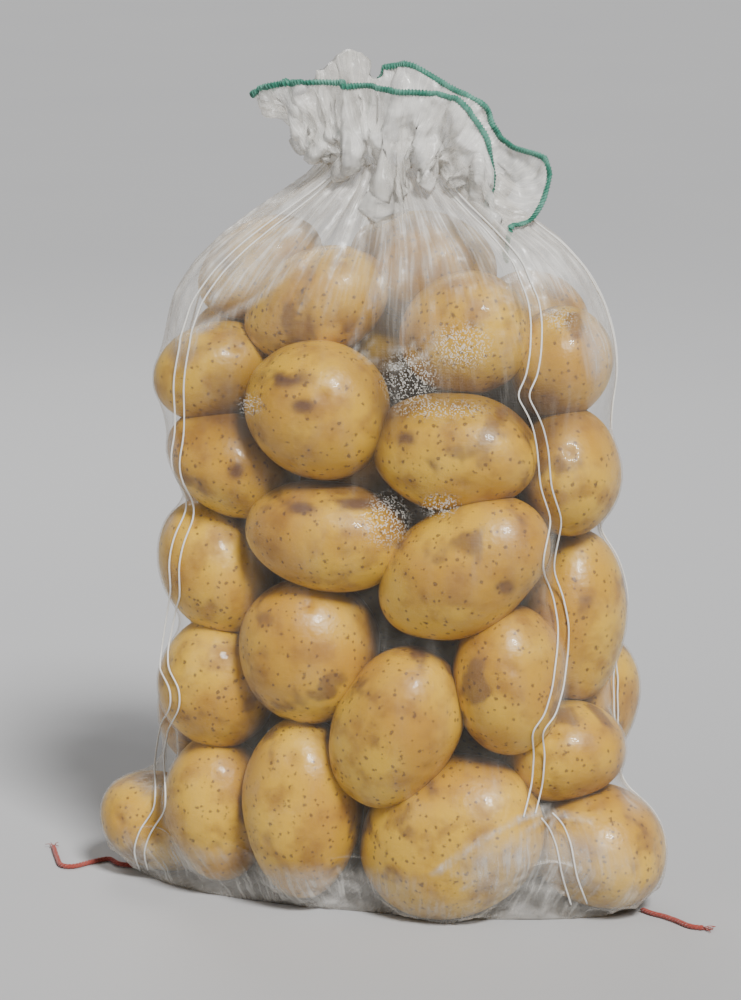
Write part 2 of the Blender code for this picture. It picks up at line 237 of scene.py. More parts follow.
class Finish:
    def __init__(self, name, roughness=0.5):
        self.material = bpy.data.materials.new(name)
        self.material.use_nodes = True
        self.tree = self.material.node_tree
        self.shader = self.tree.nodes["Principled BSDF"]
        self.set(Roughness=roughness)

    def node(self, kind, settings=None, values=None, output=0):
        """A new node: its settings first, and then its sockets' values or links."""
        made = self.tree.nodes.new("ShaderNode" + kind)
        for name, value in (settings or {}).items():
            setattr(made, name, value)
        for name, value in (values or {}).items():
            self.feed(made.inputs[name], value)
        return Socket(self, made.outputs[output])

    def feed(self, socket, value):
        if isinstance(value, Socket):
            self.tree.links.new(value.socket, socket)
        else:
            socket.default_value = value

    def set(self, **values):
        """Sets or links the shader's own sockets, whose spaces are written as underscores."""
        for name, value in values.items():
            self.feed(self.shader.inputs[name.replace("_", " ")], value)

    def place(self):
        return self.node("TexCoord", output="Object")

    def noise(self, scale, detail=2.0, at=None):
        values = {"Vector": at or self.place(), "Scale": scale, "Detail": detail}
        return self.node("TexNoise", values=values, output="Fac")

    def spots(self, scale):
        """How far each place is from the middle of its cell, and the cell's own number."""
        values = {"Vector": self.place(), "Scale": scale}
        found = self.node("TexVoronoi", values=values, output="Distance")
        colour = Socket(self, found.socket.node.outputs["Color"])
        return found, self.node("SeparateColor", values={"Color": colour}, output="Red")

    def attribute(self, name):
        return self.node("Attribute", {"attribute_name": name}, output="Fac")

    def blend(self, factor, first, second):
        """A mix of two colours, each a colour or a socket."""
        values = {"Factor": factor}
        made = self.node("Mix", {"data_type": "RGBA"}, values).socket.node
        for socket, colour in ((made.inputs[6], first), (made.inputs[7], second)):
            self.feed(socket, colour if isinstance(colour, Socket) else (*colour, 1.0))
        return Socket(self, made.outputs[2])

    def bump(self, height, distance):
        values = {"Height": height, "Distance": distance}
        self.set(Normal=self.node("Bump", values=values, output="Normal"))

    def on(self, obj):
        obj.data.materials.clear()
        obj.data.materials.append(self.material)


# %% [markdown]
# ## The red yarn
#
# The bottom seam is closed with a red yarn, and its two cut ends stick out at the corners and
# lie on the floor. Each end is three thin strands wound round one route, and at its tip their
# fibres have come apart. The routes are those of the model. The hem and the marker threads are
# lines of points too, and use the same helpers.

# %% Lines of points
def travelled_along(line):
    """How far along a line of points each of them lies."""
    return np.concatenate(([0], np.cumsum(norm(np.diff(line, axis=0), axis=1))))


def points_at(places, travelled, line):
    """The points of a line at these distances along it."""
    return np.column_stack([np.interp(places, travelled, axis) for axis in line.T])


def smoothed(line, times):
    """A line whose points, but for its two ends, are drawn towards their neighbours."""
    for _ in range(times):
        line[1:-1] = (line[:-2] + 2 * line[1:-1] + line[2:]) / 4
    return line


# %% The yarn's two routes
YARN_RADIUS = 1.2 * MM
YARN_HEIGHT = 1.25
YARN_LEFT = ((-121, -6), (-128, -5), (-135, 1), (-141, -5))
YARN_LEFT += ((-147, -14), (-153, -14), (-159, -3), (-166, 12))
YARN_RIGHT = ((121, -10), (126, -14), (132, -17), (139, -22), (146, -28), (152, -29))
ROUTE_STEP = 1.5


def smooth_route(corners):
    """A smooth curve in metres through corners in millimetres."""
    corners = np.array([(x, y, YARN_HEIGHT) for x, y in corners])
    padded = np.vstack((2 * corners[0] - corners[1], corners, 2 * corners[-1] - corners[-2]))
    route = []
    for a, b, c, d in zip(padded, padded[1:], padded[2:], padded[3:]):
        steps = max(2, round(norm(c - b) / ROUTE_STEP))
        for t in np.arange(steps) / steps:
            bend = (2 * a - 5 * b + 4 * c - d) * t**2 + (3 * b - a - 3 * c + d) * t**3
            route.append(0.5 * (2 * b + (c - a) * t + bend))
    route.append(corners[-1])
    return np.array(route) * MM


def length_of(route):
    return float(travelled_along(route)[-1])


print("yarn ends with", len(YARN_LEFT), "and", len(YARN_RIGHT), "corners")

# %% [markdown]
# A tube is a curve object with a bevel. `tubes` puts any number of lines in one curve, makes it
# a mesh and merges its caps, so that it is closed.

# %% Tubes along lines
TUBE_SIDES = 6


def tubes(name, lines, radius, closed=False):
    """One mesh of round tubes along these lines of points, in metres."""
    curve = bpy.data.curves.new(name, "CURVE")
    curve.dimensions = "3D"
    curve.bevel_depth = radius
    curve.bevel_resolution = TUBE_SIDES // 2 - 2
    curve.use_fill_caps = not closed
    for line in lines:
        spline = curve.splines.new("POLY")
        spline.points.add(len(line) - 1)
        spline.points.foreach_set("co", np.column_stack((line, np.ones(len(line)))).ravel())
        spline.use_cyclic_u = closed
    obj = bpy.data.objects.new(name, curve)
    bpy.context.scene.collection.objects.link(obj)
    only(obj)
    bpy.ops.object.convert(target="MESH")
    obj = bpy.context.object
    merge = (bpy.ops.mesh.remove_doubles, {"threshold": 0.001 * MM})
    edit_all(obj, merge, (bpy.ops.mesh.normals_make_consistent, {"inside": False}))
    bpy.ops.object.shade_smooth()
    return obj


def sideways(route):
    """Two directions across a route at each point: a level one, and one square to it."""
    along = np.gradient(route, axis=0)
    along /= norm(along, axis=1)[:, None]
    level = np.cross(along, (0.0, 0.0, 1.0))
    level /= np.maximum(norm(level, axis=1), 1e-9)[:, None]
    return level, np.cross(level, along)


# %% Red yarn
STRANDS = 3
STRAND_RADIUS = YARN_RADIUS * 0.52
TWIST_LENGTH = 5.5 * MM
FRAYED_FIBRES = 9
FRAY_LENGTH = 9 * MM
FIBRE_RADIUS = 0.16 * MM

red = Finish("red_yarn", roughness=0.85)
fibre = red.noise(1400, detail=3)
red.set(Base_Color=red.blend(fibre, (0.16, 0.018, 0.014), (0.50, 0.075, 0.045)))
red.set(Sheen_Weight=0.4)
red.bump(fibre, 0.3 * MM)
print("a yarn of", STRANDS, "strands")


# %% Its strands and its frayed tip
def twisted(route):
    """A line for each strand, wound round a route."""
    turns = travelled_along(route) / TWIST_LENGTH
    level, upright = sideways(route)
    lines = []
    for strand in range(STRANDS):
        turn = 2 * math.pi * (turns + strand / STRANDS)[:, None]
        lines.append(route + STRAND_RADIUS * (np.cos(turn) * level + np.sin(turn) * upright))
    return lines


def finely(route, times):
    at = np.linspace(0, len(route) - 1, times * len(route))
    return points_at(at, range(len(route)), route)


def frayed(route):
    """Fibres that come out of the yarn's tip and spread."""
    tip = route[-1]
    ahead = (route[-1] - route[-2]) / norm(route[-1] - route[-2])
    level = np.cross(ahead, (0, 0, 1))
    upright = np.array((0, 0, 1))
    t = np.linspace(-0.6, 1, 9)[:, None]
    fibres = []
    for number in range(FRAYED_FIBRES):
        spread = 2 * (number + 0.5) / FRAYED_FIBRES - 1
        reach = FRAY_LENGTH * (0.55 + 0.45 * abs(math.sin(2.3 * number + 1)))
        rise = YARN_RADIUS * 0.7 * np.sin(1.7 * number + 3 * t) * np.clip(t + 0.6, 0, 1)
        aside = spread * reach * 0.45 * np.maximum(t, 0) ** 1.5
        fibre = tip + ahead * t * reach * 0.6 + level * aside + upright * rise
        fibre[:, 2] = np.maximum(fibre[:, 2], 0.3 * MM)
        fibres.append(fibre)
    return fibres


# %% Both ends of the yarn
def make_yarn(node, corners):
    route = smooth_route(corners)
    yarn = tubes(node + "_twisted", twisted(finely(route, 4)), STRAND_RADIUS)
    fray = tubes(node + "_fray", frayed(route), FIBRE_RADIUS)
    for piece in (yarn, fray):
        red.on(piece)
        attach(piece, "root")
    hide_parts(node)
    length_of(route)
    print(f"{node} {length_of(route) * 1000:.0f} mm long")


make_yarn("closing_yarn_left", YARN_LEFT)
make_yarn("closing_yarn_right", YARN_RIGHT)

# %% [markdown]
# ## The potatoes
#
# Each CAD potato has the right place, size and turn, but only a few faces. A copy is merged,
# its triangles are paired back into squares, and three subdivisions round it off. It is then
# scaled up from its own middle until the potatoes press on each other, as in a full sack. A few
# at the right get wider, to close gaps that the photograph doesn't have. Then come low lumps
# and a few eyes. Dark smudges go where the photograph has them, as ovals in its pixels.

# %% Potato numbers
SHOWN_AT_FRONT = 23
FRONT_SWELL = 1.12
BEHIND_SWELL = 1.17
WIDENED = {
    # potato: how much wider, and its shift to the right in metres
    5: (1.08, -0.001),
    7: (1.16, -0.004),
    18: (1.06, -0.004),
    21: (1.10, -0.003),
    22: (1.14, -0.002),
}
LUMP_SIZE = 30 * MM
LUMP_HEIGHT = 1.7 * MM
EYES = 7
EYE_WIDTH = 0.16
EYE_DEPTH = 1.1 * MM
ABOVE_FLOOR = 0.9 * MM
SMUDGE_EDGE = (0.4, 1.2)
SMUDGES = (
    # middle and half sizes in pixels
    (284, 378, 32, 11),
    (303, 406, 15, 9),
    (424, 468, 17, 12),
    (406, 440, 11, 12),
    (302, 508, 18, 8),
    (352, 504, 34, 8),
    (418, 655, 12, 16),
    (236, 470, 10, 12),
    (505, 588, 12, 9),
)
print(len(SMUDGES), "smudges")


# %% Potatoes over the model's own
def ovals_from(pixels, ovals):
    """How far pixels are from the nearest oval's middle, where 1 is its edge."""
    ovals = np.array(ovals, float)
    away = (pixels[..., None, :] - ovals[:, :2]) / ovals[:, 2:]
    return norm(away, axis=-1).min(axis=-1)


def eye_directions(number):
    """Directions from a potato's middle to its eyes."""
    step = np.arange(EYES)
    height = 1 - 2 * (step + 0.5) / EYES
    turn = step * 2.4 + number * 1.7 + 0.6 * np.sin(step * 3.1 + number)
    flat = np.sqrt(1 - height**2)
    return np.column_stack((flat * np.cos(turn), height, flat * np.sin(turn)))


def make_potato(node, number):
    """A smooth potato over its CAD node, with the numbers that its skin reads."""
    obj = copy_of(node, node + "_skin")
    coarse = points_of(obj)
    middle = (coarse.min(axis=0) + coarse.max(axis=0)) / 2
    size = np.ptp(coarse, axis=0)
    edit_all(obj, (bpy.ops.mesh.tris_convert_to_quads, {}))
    apply_modifier(obj, "SUBSURF", levels=3, render_levels=3)
    fine = points_of(obj)
    swell = FRONT_SWELL if number <= SHOWN_AT_FRONT else BEHIND_SWELL
    fine = middle + (fine - middle) * size / np.ptp(fine, axis=0) * swell
    wider, shift = WIDENED.get(number, (1, 0))
    fine[:, 0] = middle[0] + (fine[:, 0] - middle[0]) * wider + shift
    move_points(obj, fine)
    out = normals_of(obj)
    away = fine - middle
    away /= norm(away, axis=1)[:, None]
    apart = np.array((number, 0, 0))
    lumps = np.array([noise.noise(Vector(point / LUMP_SIZE + apart)) for point in fine])
    nearest = norm(away[:, None] - eye_directions(number)[None], axis=2).min(axis=1)
    eyes = 1 - eased(nearest, 0, EYE_WIDTH)
    fine += out * (LUMP_HEIGHT * lumps - EYE_DEPTH * eyes)[:, None]
    fine[:, 2] = np.maximum(fine[:, 2], ABOVE_FLOOR)
    move_points(obj, fine)
    paint(obj, "eye", eyes)
    clean = eased(ovals_from(to_photo(fine), SMUDGES), *SMUDGE_EDGE)
    paint(obj, "smudge", (1 - clean) * facing_camera(out))
    only(obj)
    bpy.ops.object.shade_smooth()
    return obj


potatoes = [make_potato(node, number) for number, node in enumerate(POTATO_NAMES, 1)]
print(len(potatoes), "potatoes with", sum(len(potato.data.polygons) for potato in potatoes), "faces")

# %% [markdown]
# A potato's skin is golden where it is clean and browner where it was rubbed. It is dotted with
# tiny dark pores and has larger flecks and smudges. All read Object coordinates, and as each
# potato lies at its own place in them, no two look alike.

# %% Potato skin
GOLD = (0.53, 0.255, 0.004)
PALE_GOLD = (0.74, 0.43, 0.014)
EARTH = (0.28, 0.110, 0.004)
PORE = (0.070, 0.024, 0.008)
# painted shade, darkening the skin deep in the sack, away from the cloth
PAINTED_HOLLOW_SHADE = (0.11, 0.040, 0.005)
BRUISE = (0.105, 0.042, 0.018)
PORE_CELLS = 300
FLECK_CELLS = 115

skin = Finish("potato_skin")
drift = skin.noise(22, detail=2).step(0.35, 0.65)
rubbed = skin.noise(75, detail=3).step(0.42, 0.72)

ragged = 0.5 * skin.noise(650, detail=1) - 0.25
pore_distance, pore_number = skin.spots(PORE_CELLS)
pores = 1 - (pore_distance + ragged - 0.18 * pore_number).step(0.0, 0.18)
fleck_distance, fleck_number = skin.spots(FLECK_CELLS)
flecks = (1 - (fleck_distance + ragged).step(0.02, 0.18)) * (fleck_number > 0.45)
patchy = skin.noise(38, detail=3)
smudges = patchy.step(0.60, 0.68) * 0.6
smudges = smudges.math("MAXIMUM", skin.attribute("smudge") * patchy.step(0.33, 0.47) * 0.95)

colour = skin.blend(drift, GOLD, PALE_GOLD)
for share, stain in (
    (rubbed * 0.7, EARTH),
    (smudges, BRUISE),
    (pores * 0.70, PORE),
    (flecks * 0.75, PORE),
    (skin.attribute("eye") * 0.45, EARTH),
    # painted shade where the skin is far from the cloth
    (skin.attribute("painted_hollow_shade") * 0.75, PAINTED_HOLLOW_SHADE),
):
    colour = skin.blend(share, colour, stain)
skin.set(Base_Color=colour, Roughness=0.40 + 0.25 * rubbed, Coat_Weight=0.12)
skin.bump(skin.noise(260, detail=2), 0.4 * MM)

for potato, node in zip(potatoes, POTATO_NAMES):
    skin.on(potato)
    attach(potato, "root")
    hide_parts(node)
print("a skin of", len(skin.tree.nodes), "nodes")

# %% [markdown]
# ## The cloth, as a pattern of rows
#
# The sack is one sheet, wrapped into a tube. Its rows go from the bottom seam, out over the
# base, up the walls to the neck and on to the hem. These are the model's outlines, in
# millimetres, drawn in a little at the foot and read at a much finer step. Columns are counted
# from the left side, round by the front.

# %% The outlines
CIRCUMFERENCE = 0.60
LAID_LENGTH = 0.50
COLUMNS = 240
BASE_ROWS = 20
WALL_ROWS = 153
HEAD_ROWS = 27
OUTLINE_STEPS = 1441
SEAM_HALF_LENGTH = 112.0
SEAM_Y = 3.0

SECTIONS = (
    # z, half_width, half_depth, roundness, middle_x, hold
    (0, 114, 42, 2.3, 0, 0.0),
    (8, 125, 54, 2.2, 0, 0.0),
    (24, 136, 69, 2.1, 0, 0.0),
    (48, 130, 75, 2.3, 0, 0.0),
    (75, 118, 76, 2.6, 0, 0.0),
    (130, 114, 76, 2.8, 0, 0.0),
    (190, 111, 75, 2.8, 0, 0.0),
    (235, 107, 72, 2.7, 1, 0.02),
    (256, 102, 67, 2.6, 1, 0.06),
    (274, 97, 60, 2.5, 0, 0.15),
    (288, 88, 52, 2.4, 1, 0.25),
    (299, 77, 44, 2.3, 2, 0.35),
    (308, 64, 36, 2.2, 2, 0.5),
    (317, 50, 28, 2.1, 2, 0.7),
    (325, 38, 20, 2.0, 2, 0.9),
    (333, 29, 13, 2.0, 1, 1.0),
)
HEAD = (
    # turn, hem_x, hem_y, hem_z, crest_x, crest_y, crest_z
    (0, -63, 0, 361, -45, 0, 344),
    (18, -53, -12, 366, -41, -13, 347),
    (38, -40, -20, 369, -31, -19, 349),
    (58, -26, -24, 370, -20, -22, 349),
    (78, -11, -27, 369, -8, -23, 349),
    (98, 6, -27, 368, 4, -22, 348),
    (114, 22, -24, 367, 15, -21, 348),
    (128, 37, -20, 365, 26, -19, 347),
    (140, 43, -16, 355, 33, -17, 342),
    (150, 51, -13, 343, 40, -16, 335),
    (159, 52, -21, 328, 41, -18, 328),
    (169, 59, -22, 310, 45, -18, 316),
    (179, 65, -10, 307, 48, -10, 311),
    (189, 72, -3, 318, 54, -3, 321),
    (199, 74, 4, 338, 54, 4, 327),
    (209, 53, 9, 339, 44, 9, 330),
    (222, 44, 15, 348, 32, 14, 343),
    (236, 39, 19, 358, 27, 17, 348),
    (252, 24, 24, 363, 17, 20, 352),
    (270, 2, 27, 375, 2, 21, 355),
    (282, -10, 29, 372, -6, 22, 357),
    (293, -19, 34, 374, -14, 23, 362),
    (305, -31, 35, 372, -24, 22, 365),
    (319, -43, 29, 368, -34, 18, 360),
    (338, -55, 15, 363, -42, 12, 350),
)


def columns_of(table):
    return np.array(table, float).T


def ring(half_width, half_depth, roundness, middle_x):
    """Evenly spaced points round an outline, from the left side by the front."""
    turn = np.linspace(math.pi, 3 * math.pi, OUTLINE_STEPS)
    cos, sin = np.cos(turn), np.sin(turn)
    x = half_width * np.sign(cos) * np.abs(cos) ** (2 / roundness)
    y = half_depth * np.sign(sin) * np.abs(sin) ** (2 / roundness)
    length = np.concatenate(([0], np.cumsum(np.hypot(np.diff(x), np.diff(y)))))
    at = np.linspace(0, length[-1], COLUMNS + 1)[:-1]
    return np.column_stack((np.interp(at, length, x) + middle_x, np.interp(at, length, y)))


# %% The base and the walls
across = 1 - np.abs(1 - np.arange(COLUMNS) * 2 / COLUMNS)
seam = np.zeros((COLUMNS, 3))
seam[:, 0] = SEAM_HALF_LENGTH * (2 * across - 1)
seam[:, 1] = SEAM_Y
rim = np.column_stack((ring(*SECTIONS[0][1:5]), np.zeros(COLUMNS)))
base = np.array([seam + (rim - seam) * row / BASE_ROWS for row in range(BASE_ROWS)])

z, *shape, hold = columns_of(SECTIONS)
length = np.concatenate(([0], np.cumsum(np.hypot(np.diff(shape[0]), np.diff(z)))))
at_rows = np.linspace(0, length[-1], WALL_ROWS)
walls = np.empty((WALL_ROWS, COLUMNS, 3))
for wall, at in zip(walls, at_rows):
    wall[:, :2] = ring(*[np.interp(at, length, column) for column in shape])
    wall[:, 2] = np.interp(at, length, z)
holds = np.interp(at_rows, length, hold)
print("walls of", walls.shape[0], "rows by", walls.shape[1], "columns")

# %% The head, a parabola from neck to crest to hem
HEAD_SMOOTHING = 12

turn, *points = columns_of(HEAD)
at = np.arange(COLUMNS) * 360 / COLUMNS
smooth = np.array([np.interp(at, turn, column, period=360) for column in points])
for _ in range(HEAD_SMOOTHING):
    smooth = (np.roll(smooth, 1, axis=1) + 2 * smooth + np.roll(smooth, -1, axis=1)) / 4
neck, hem, crest = walls[-1], smooth[:3].T, smooth[3:].T
t = np.arange(1, HEAD_ROWS + 1)[:, None, None] / HEAD_ROWS
head = neck * (1 - t) * (1 - 2 * t) + crest * 4 * t * (1 - t) + hem * t * (2 * t - 1)
print("the head reaches", head[:, :, 2].max().round(1), "mm")

# %% [markdown]
# ## Drawing the cloth tight
#
# Real sheer cloth lies on the potatoes and bridges the gaps between them. Here each point of
# the wall moves only along its own inward direction. A ray finds how far it can go before it
# meets a potato, and repeated averaging with its neighbours is the tension. It runs on a coarse
# grid first and then on finer ones, because tension crosses a coarse grid in few steps.

# %% Rays to the potatoes
CLOTH_CLEARANCE = 0.8
MOST_OUT = 14.0
MOST_IN = 40.0


def outward(rows):
    """The cloth's outward direction at each point of a grid."""
    round_it = np.roll(rows, -1, axis=1) - np.roll(rows, 1, axis=1)
    up = np.gradient(rows, axis=0)
    normal = np.cross(round_it, up)
    return normal / np.maximum(norm(normal, axis=2), 1e-6)[:, :, None]


corners, faces = [], []
for potato in potatoes:
    faces += [[len(corners) + index for index in face.vertices] for face in potato.data.polygons]
    corners += map(Vector, points_of(potato) / MM + normals_of(potato) * CLOTH_CLEARANCE)
touching = BVHTree.FromPolygons(corners, faces)


def deepest(points, inward):
    """How far each point can move inwards before it meets a potato."""
    found = []
    for point, way in zip(points.reshape(-1, 3), inward.reshape(-1, 3)):
        start = Vector(point - way * MOST_OUT)
        distance = touching.ray_cast(start, Vector(way), MOST_OUT + MOST_IN)[3]
        found.append(MOST_IN if distance is None else distance - MOST_OUT)
    return np.array(found).reshape(points.shape[:2])


inward = -outward(walls)
limit = deepest(walls, inward)
print("the deepest gap between potatoes lets the cloth in by", limit.max().round(1), "mm")


# %% Tension, from a coarse grid to the fine one
CLING = 0.80
TIGHTENINGS = 140
GRID_STEPS = (8, 4, 2, 1)


def tightened(depth, step):
    """Relaxes the cloth's depth on every step-th row and column."""
    rows, cols = slice(None, None, step), slice(None, None, step)
    shape, way, most = walls[rows, cols], inward[rows, cols], limit[rows, cols]
    keep = holds[rows, None]
    suction = CLING * (step / 4) ** 2 * (1 - keep)
    for _ in range(TIGHTENINGS):
        at = shape + depth[:, :, None] * way
        beside = np.roll(at, 1, axis=1) + np.roll(at, -1, axis=1)
        above = np.roll(at, 1, axis=0) + np.roll(at, -1, axis=0)
        pulled = 0.5 * at + 0.125 * (beside + above)
        wanted = ((pulled - shape) * way).sum(axis=2) + suction
        depth = np.minimum(wanted * (1 - 0.5 * keep), most)
        depth[[0, -1]] = 0
    return depth


def finer(depth):
    """The same depths with a point between each two, round the tube and up it."""
    between = (depth + np.roll(depth, -1, axis=1)) / 2
    wide = np.stack((depth, between), axis=2).reshape(len(depth), -1)
    tall = np.empty((2 * len(wide) - 1, wide.shape[1]))
    tall[::2] = wide
    tall[1::2] = (wide[1:] + wide[:-1]) / 2
    return tall


depth = np.zeros(walls[:: GRID_STEPS[0], :: GRID_STEPS[0]].shape[:2])
for step in GRID_STEPS:
    depth = tightened(depth, step)
    if step > 1:
        depth = finer(depth)
walls = walls + depth[:, :, None] * inward
rows = np.concatenate((base, walls, head))
rows[:, :, 2] = np.maximum(rows[:, :, 2], 0)
print(f"the walls moved in by {depth.mean():.1f} mm on average")

# %% [markdown]
# ## Gathers and folds
#
# At the neck 600 mm of cloth is gathered into a few centimetres, so it stands in dozens of small
# pleats. They run down over the shoulders, each to its own length, and up into the head. There
# the cloth is crushed: big folds hang over, one of them a tongue at the front, and sharp ridges
# run all through it. At the foot the cloth puckers.

# %% Pleats
NECK_ROW = BASE_ROWS + WALL_ROWS - 1
LAST_ROW = len(rows) - 1
NECK_Z = rows[NECK_ROW, :, 2].mean()
TURN = np.arange(COLUMNS) * 2 * math.pi / COLUMNS
PLEATS = (
    # how many round the neck, depth in mm, shift, how far down they run in mm
    (14, 1.5, 0.0, 60),
    (23, 1.1, 1.1, 95),
    (37, 0.8, 2.3, 120),
    (59, 0.45, 0.4, 80),
)
WANDER = 0.5
WANDER_SIZE = 60


def noise_at(points, size, shift=0.0, squash=(1, 1, 1)):
    """Smooth noise from -1 to 1 at each point, with features of this size in millimetres."""
    scaled = points.reshape(-1, 3) * np.array(squash) / size + shift
    found = [noise.noise(Vector(point)) for point in scaled]
    return np.array(found).reshape(points.shape[:-1])


def ridges_at(points, size, shift=0.0, squash=(1, 1, 1)):
    """Noise with sharp ridges, like crushed cloth."""
    return 0.5 - 2.2 * np.abs(noise_at(points, size, shift, squash))


down_shoulder = np.maximum(0, NECK_Z - rows[:, :, 2])
up_head = np.clip((np.arange(len(rows)) - NECK_ROW) / HEAD_ROWS, 0, 1)[:, None]
normal = outward(rows)
pleat_length = 1 + 0.5 * np.sin(5 * TURN + 0.7) + 0.3 * np.sin(11 * TURN)
gather = np.zeros(rows.shape[:2])
for count, pleat_depth, shift, reach in PLEATS:
    wander = shift + WANDER * noise_at(rows, WANDER_SIZE, shift)
    fade = np.clip(1 - down_shoulder / (reach * pleat_length), 0, 1) ** 1.3
    gather += pleat_depth * fade * np.cos(count * TURN + wander) * (1 - 0.5 * up_head)
gather[:BASE_ROWS] = 0
rows = rows + normal * gather[:, :, None]
print(f"pleats up to {gather.max() - gather.min():.1f} mm deep")

# %% [markdown]
# Each big fold is a soft bump over a patch of turn and height: it pushes the cloth out and lets
# it hang over the cloth below. In two places the hem doesn't show: the hump at the back folds
# over, and the edge beside the flap is tucked in.

# %% Folds of the head
FOLDS = (
    # turn, height in the head, half widths of the two, out, down
    (103, 0.32, 20, 0.32, 13, 27),
    (70, 0.30, 11, 0.26, 8, 12),
    (40, 0.34, 13, 0.26, 6, 8),
    (132, 0.32, 12, 0.28, 10, 13),
    (150, 0.36, 11, 0.26, 8, 8),
    (205, 0.34, 14, 0.28, 7, 8),
    (238, 0.30, 14, 0.28, 9, 13),
    (275, 0.32, 13, 0.26, 8, 12),
    (318, 0.34, 15, 0.28, 8, 12),
    (352, 0.34, 11, 0.26, 6, 8),
)
TUCKS = (
    # turn, half width, where it folds, how far the fold rises, and out or in
    (309, 26, 0.72, 7.0, 0.35),
    (159, 13, 0.72, 2.0, -0.60),
)
FOLD_RISE = 0.3
TUCK_DROP = 1.3

degrees = np.degrees(TURN)[None]
normal = outward(rows)
normal[:, :, 2] *= FOLD_RISE
for fold_turn, fold_up, half_turn, half_up, out, down in FOLDS:
    aside = np.abs((degrees - fold_turn + 180) % 360 - 180) / half_turn
    above = np.abs(up_head - fold_up) / half_up
    bump = eased(-np.hypot(aside, above), -1, 0) * (up_head > 0)
    rows = rows + bump[:, :, None] * (normal * out - np.array((0, 0, down)))

for tuck_turn, half_turn, fold_at, fold_rise, way in TUCKS:
    aside = np.abs((degrees - tuck_turn + 180) % 360 - 180) / half_turn
    tucked = eased(-aside, -1, -0.45)
    rise = fold_rise * eased(up_head, 0.2, fold_at)
    past = np.maximum(0, up_head - fold_at)
    over = 2 * past * norm(rows[LAST_ROW] - rows[NECK_ROW], axis=1)[None]
    rows[:, :, 2] += tucked * (rise - TUCK_DROP * over)
    rows += (tucked * over * way)[:, :, None] * normal

print("the folded head reaches", rows[:, :, 2].max().round(1), "mm")

# %% Crumples of the head, and puckers at the foot
# height and size in mm, shift, squash
BIG_CRUMPLES = (6.0, 19, 3.0, (1, 1, 0.6))
SMALL_CRUMPLES = (1.8, 7, 9.0, (1, 1, 0.7))
SOFT_WAVES = (2.0, 24, 5.0)
PUCKERS = (2.6, 13, 6.0, (1, 1, 1.6))
PUCKERS_END = (6, 24)


def crumpled(shape, height, size, *place):
    """This kind of noise at each point of the cloth, to this height."""
    return height * shape(rows, size, *place)


crush = eased(up_head, 0.0, 0.3) * (1 - 0.35 * eased(up_head, 0.8, 1.0))
crumple = crumpled(ridges_at, *BIG_CRUMPLES) + crumpled(ridges_at, *SMALL_CRUMPLES)
crumple += crumpled(noise_at, *SOFT_WAVES)
rows = rows + outward(rows) * (crush * crumple)[:, :, None]

at_foot = (1 - eased(rows[:, :, 2], *PUCKERS_END)) * (rows[:, :, 2] > 0.5)
puckers = np.maximum(0, crumpled(ridges_at, *PUCKERS) + 0.2 * PUCKERS[0])
rows = rows + outward(rows) * (at_foot * puckers)[:, :, None]
print("the crumpled head reaches", rows[:, :, 2].max().round(1), "mm")

# %% [markdown]
# ## Creases and haze
#
# The ridges over the left shoulder, the slack apron under the neck and the folds across the
# bottom right corner are lines drawn on the photograph. Each raises the cloth under it and
# makes it whiter. Haze is how white the cloth looks: it is nearly clear where it clings to a
# potato, and milky where it hangs free or is crushed. Over the shoulders part of the haze is a
# painted highlight, for their glossy white sheen.

# %% Creases drawn on the photograph
CREASES = (
    # height in mm, half width in pixels, haze, the line's pixels
    (0.7, 6, 0.65, ((546, 808), (515, 822), (480, 842), (435, 873))),
    (0.6, 5, 0.50, ((552, 812), (518, 838), (486, 868), (462, 890))),
    (0.6, 5, 0.50, ((558, 816), (536, 846), (516, 880), (506, 905))),
    (1.6, 7, 0.35, ((590, 822), (560, 815), (535, 816))),
    (1.4, 8, 0.60, ((300, 262), (256, 300), (208, 325), (178, 339))),
    # this ridge's full haze is partly painted highlight, the glossy streak on the left shoulder
    (1.3, 7, 1.00, ((298, 232), (256, 247), (236, 268), (214, 299))),
    (1.0, 5, 0.45, ((340, 190), (300, 222), (262, 232))),
    (1.2, 5, 0.35, ((398, 205), (384, 260), (362, 318), (352, 345))),
    (1.2, 5, 0.35, ((402, 205), (418, 262), (432, 312), (436, 336))),
    (0.9, 4, 0.40, ((352, 345), (372, 362), (400, 368), (424, 356), (438, 336))),
    (0.8, 4, 0.30, ((358, 330), (376, 346), (402, 351), (420, 341), (430, 326))),
    (1.0, 5, 0.45, ((430, 190), (470, 222), (520, 246), (562, 280))),
    (1.0, 5, 0.40, ((440, 205), (480, 245), (512, 285))),
    (0.9, 5, 0.35, ((455, 195), (505, 222), (548, 250), (588, 300))),
    (1.0, 5, 0.30, ((420, 215), (446, 262), (458, 300))),
    (0.9, 5, 0.30, ((370, 215), (332, 262), (300, 310))),
    (1.0, 6, 0.35, ((480, 850), (520, 872), (560, 880), (610, 878))),
    (0.9, 6, 0.35, ((452, 872), (500, 890), (548, 896), (600, 892))),
)
HAZES = (
    # middle and half sizes in pixels, haze
    (398, 290, 34, 78, 0.30),
    (545, 868, 112, 50, 0.66),
    # the two shoulder patches are partly painted highlight, for the glossy white of the shoulders
    (232, 252, 84, 60, 0.80),
    (548, 258, 76, 64, 0.80),
    (182, 310, 26, 70, 0.60),
    (600, 330, 24, 70, 0.60),
    (166, 470, 14, 90, 0.35),
    (160, 620, 14, 70, 0.35),
    (300, 890, 150, 30, 0.60),
    (165, 862, 60, 30, 0.55),
    (150, 750, 22, 60, 0.40),
    (636, 770, 22, 60, 0.40),
)
GLITTERS = (
    # middle and half sizes in pixels
    (410, 378, 36, 38),
    (462, 345, 40, 30),
    (562, 318, 20, 16),
    (385, 520, 30, 34),
    (440, 505, 26, 16),
    (250, 405, 16, 14),
    (440, 410, 60, 12),
)
print(len(CREASES), "creases,", len(HAZES), "patches of haze and", len(GLITTERS), "of glints")


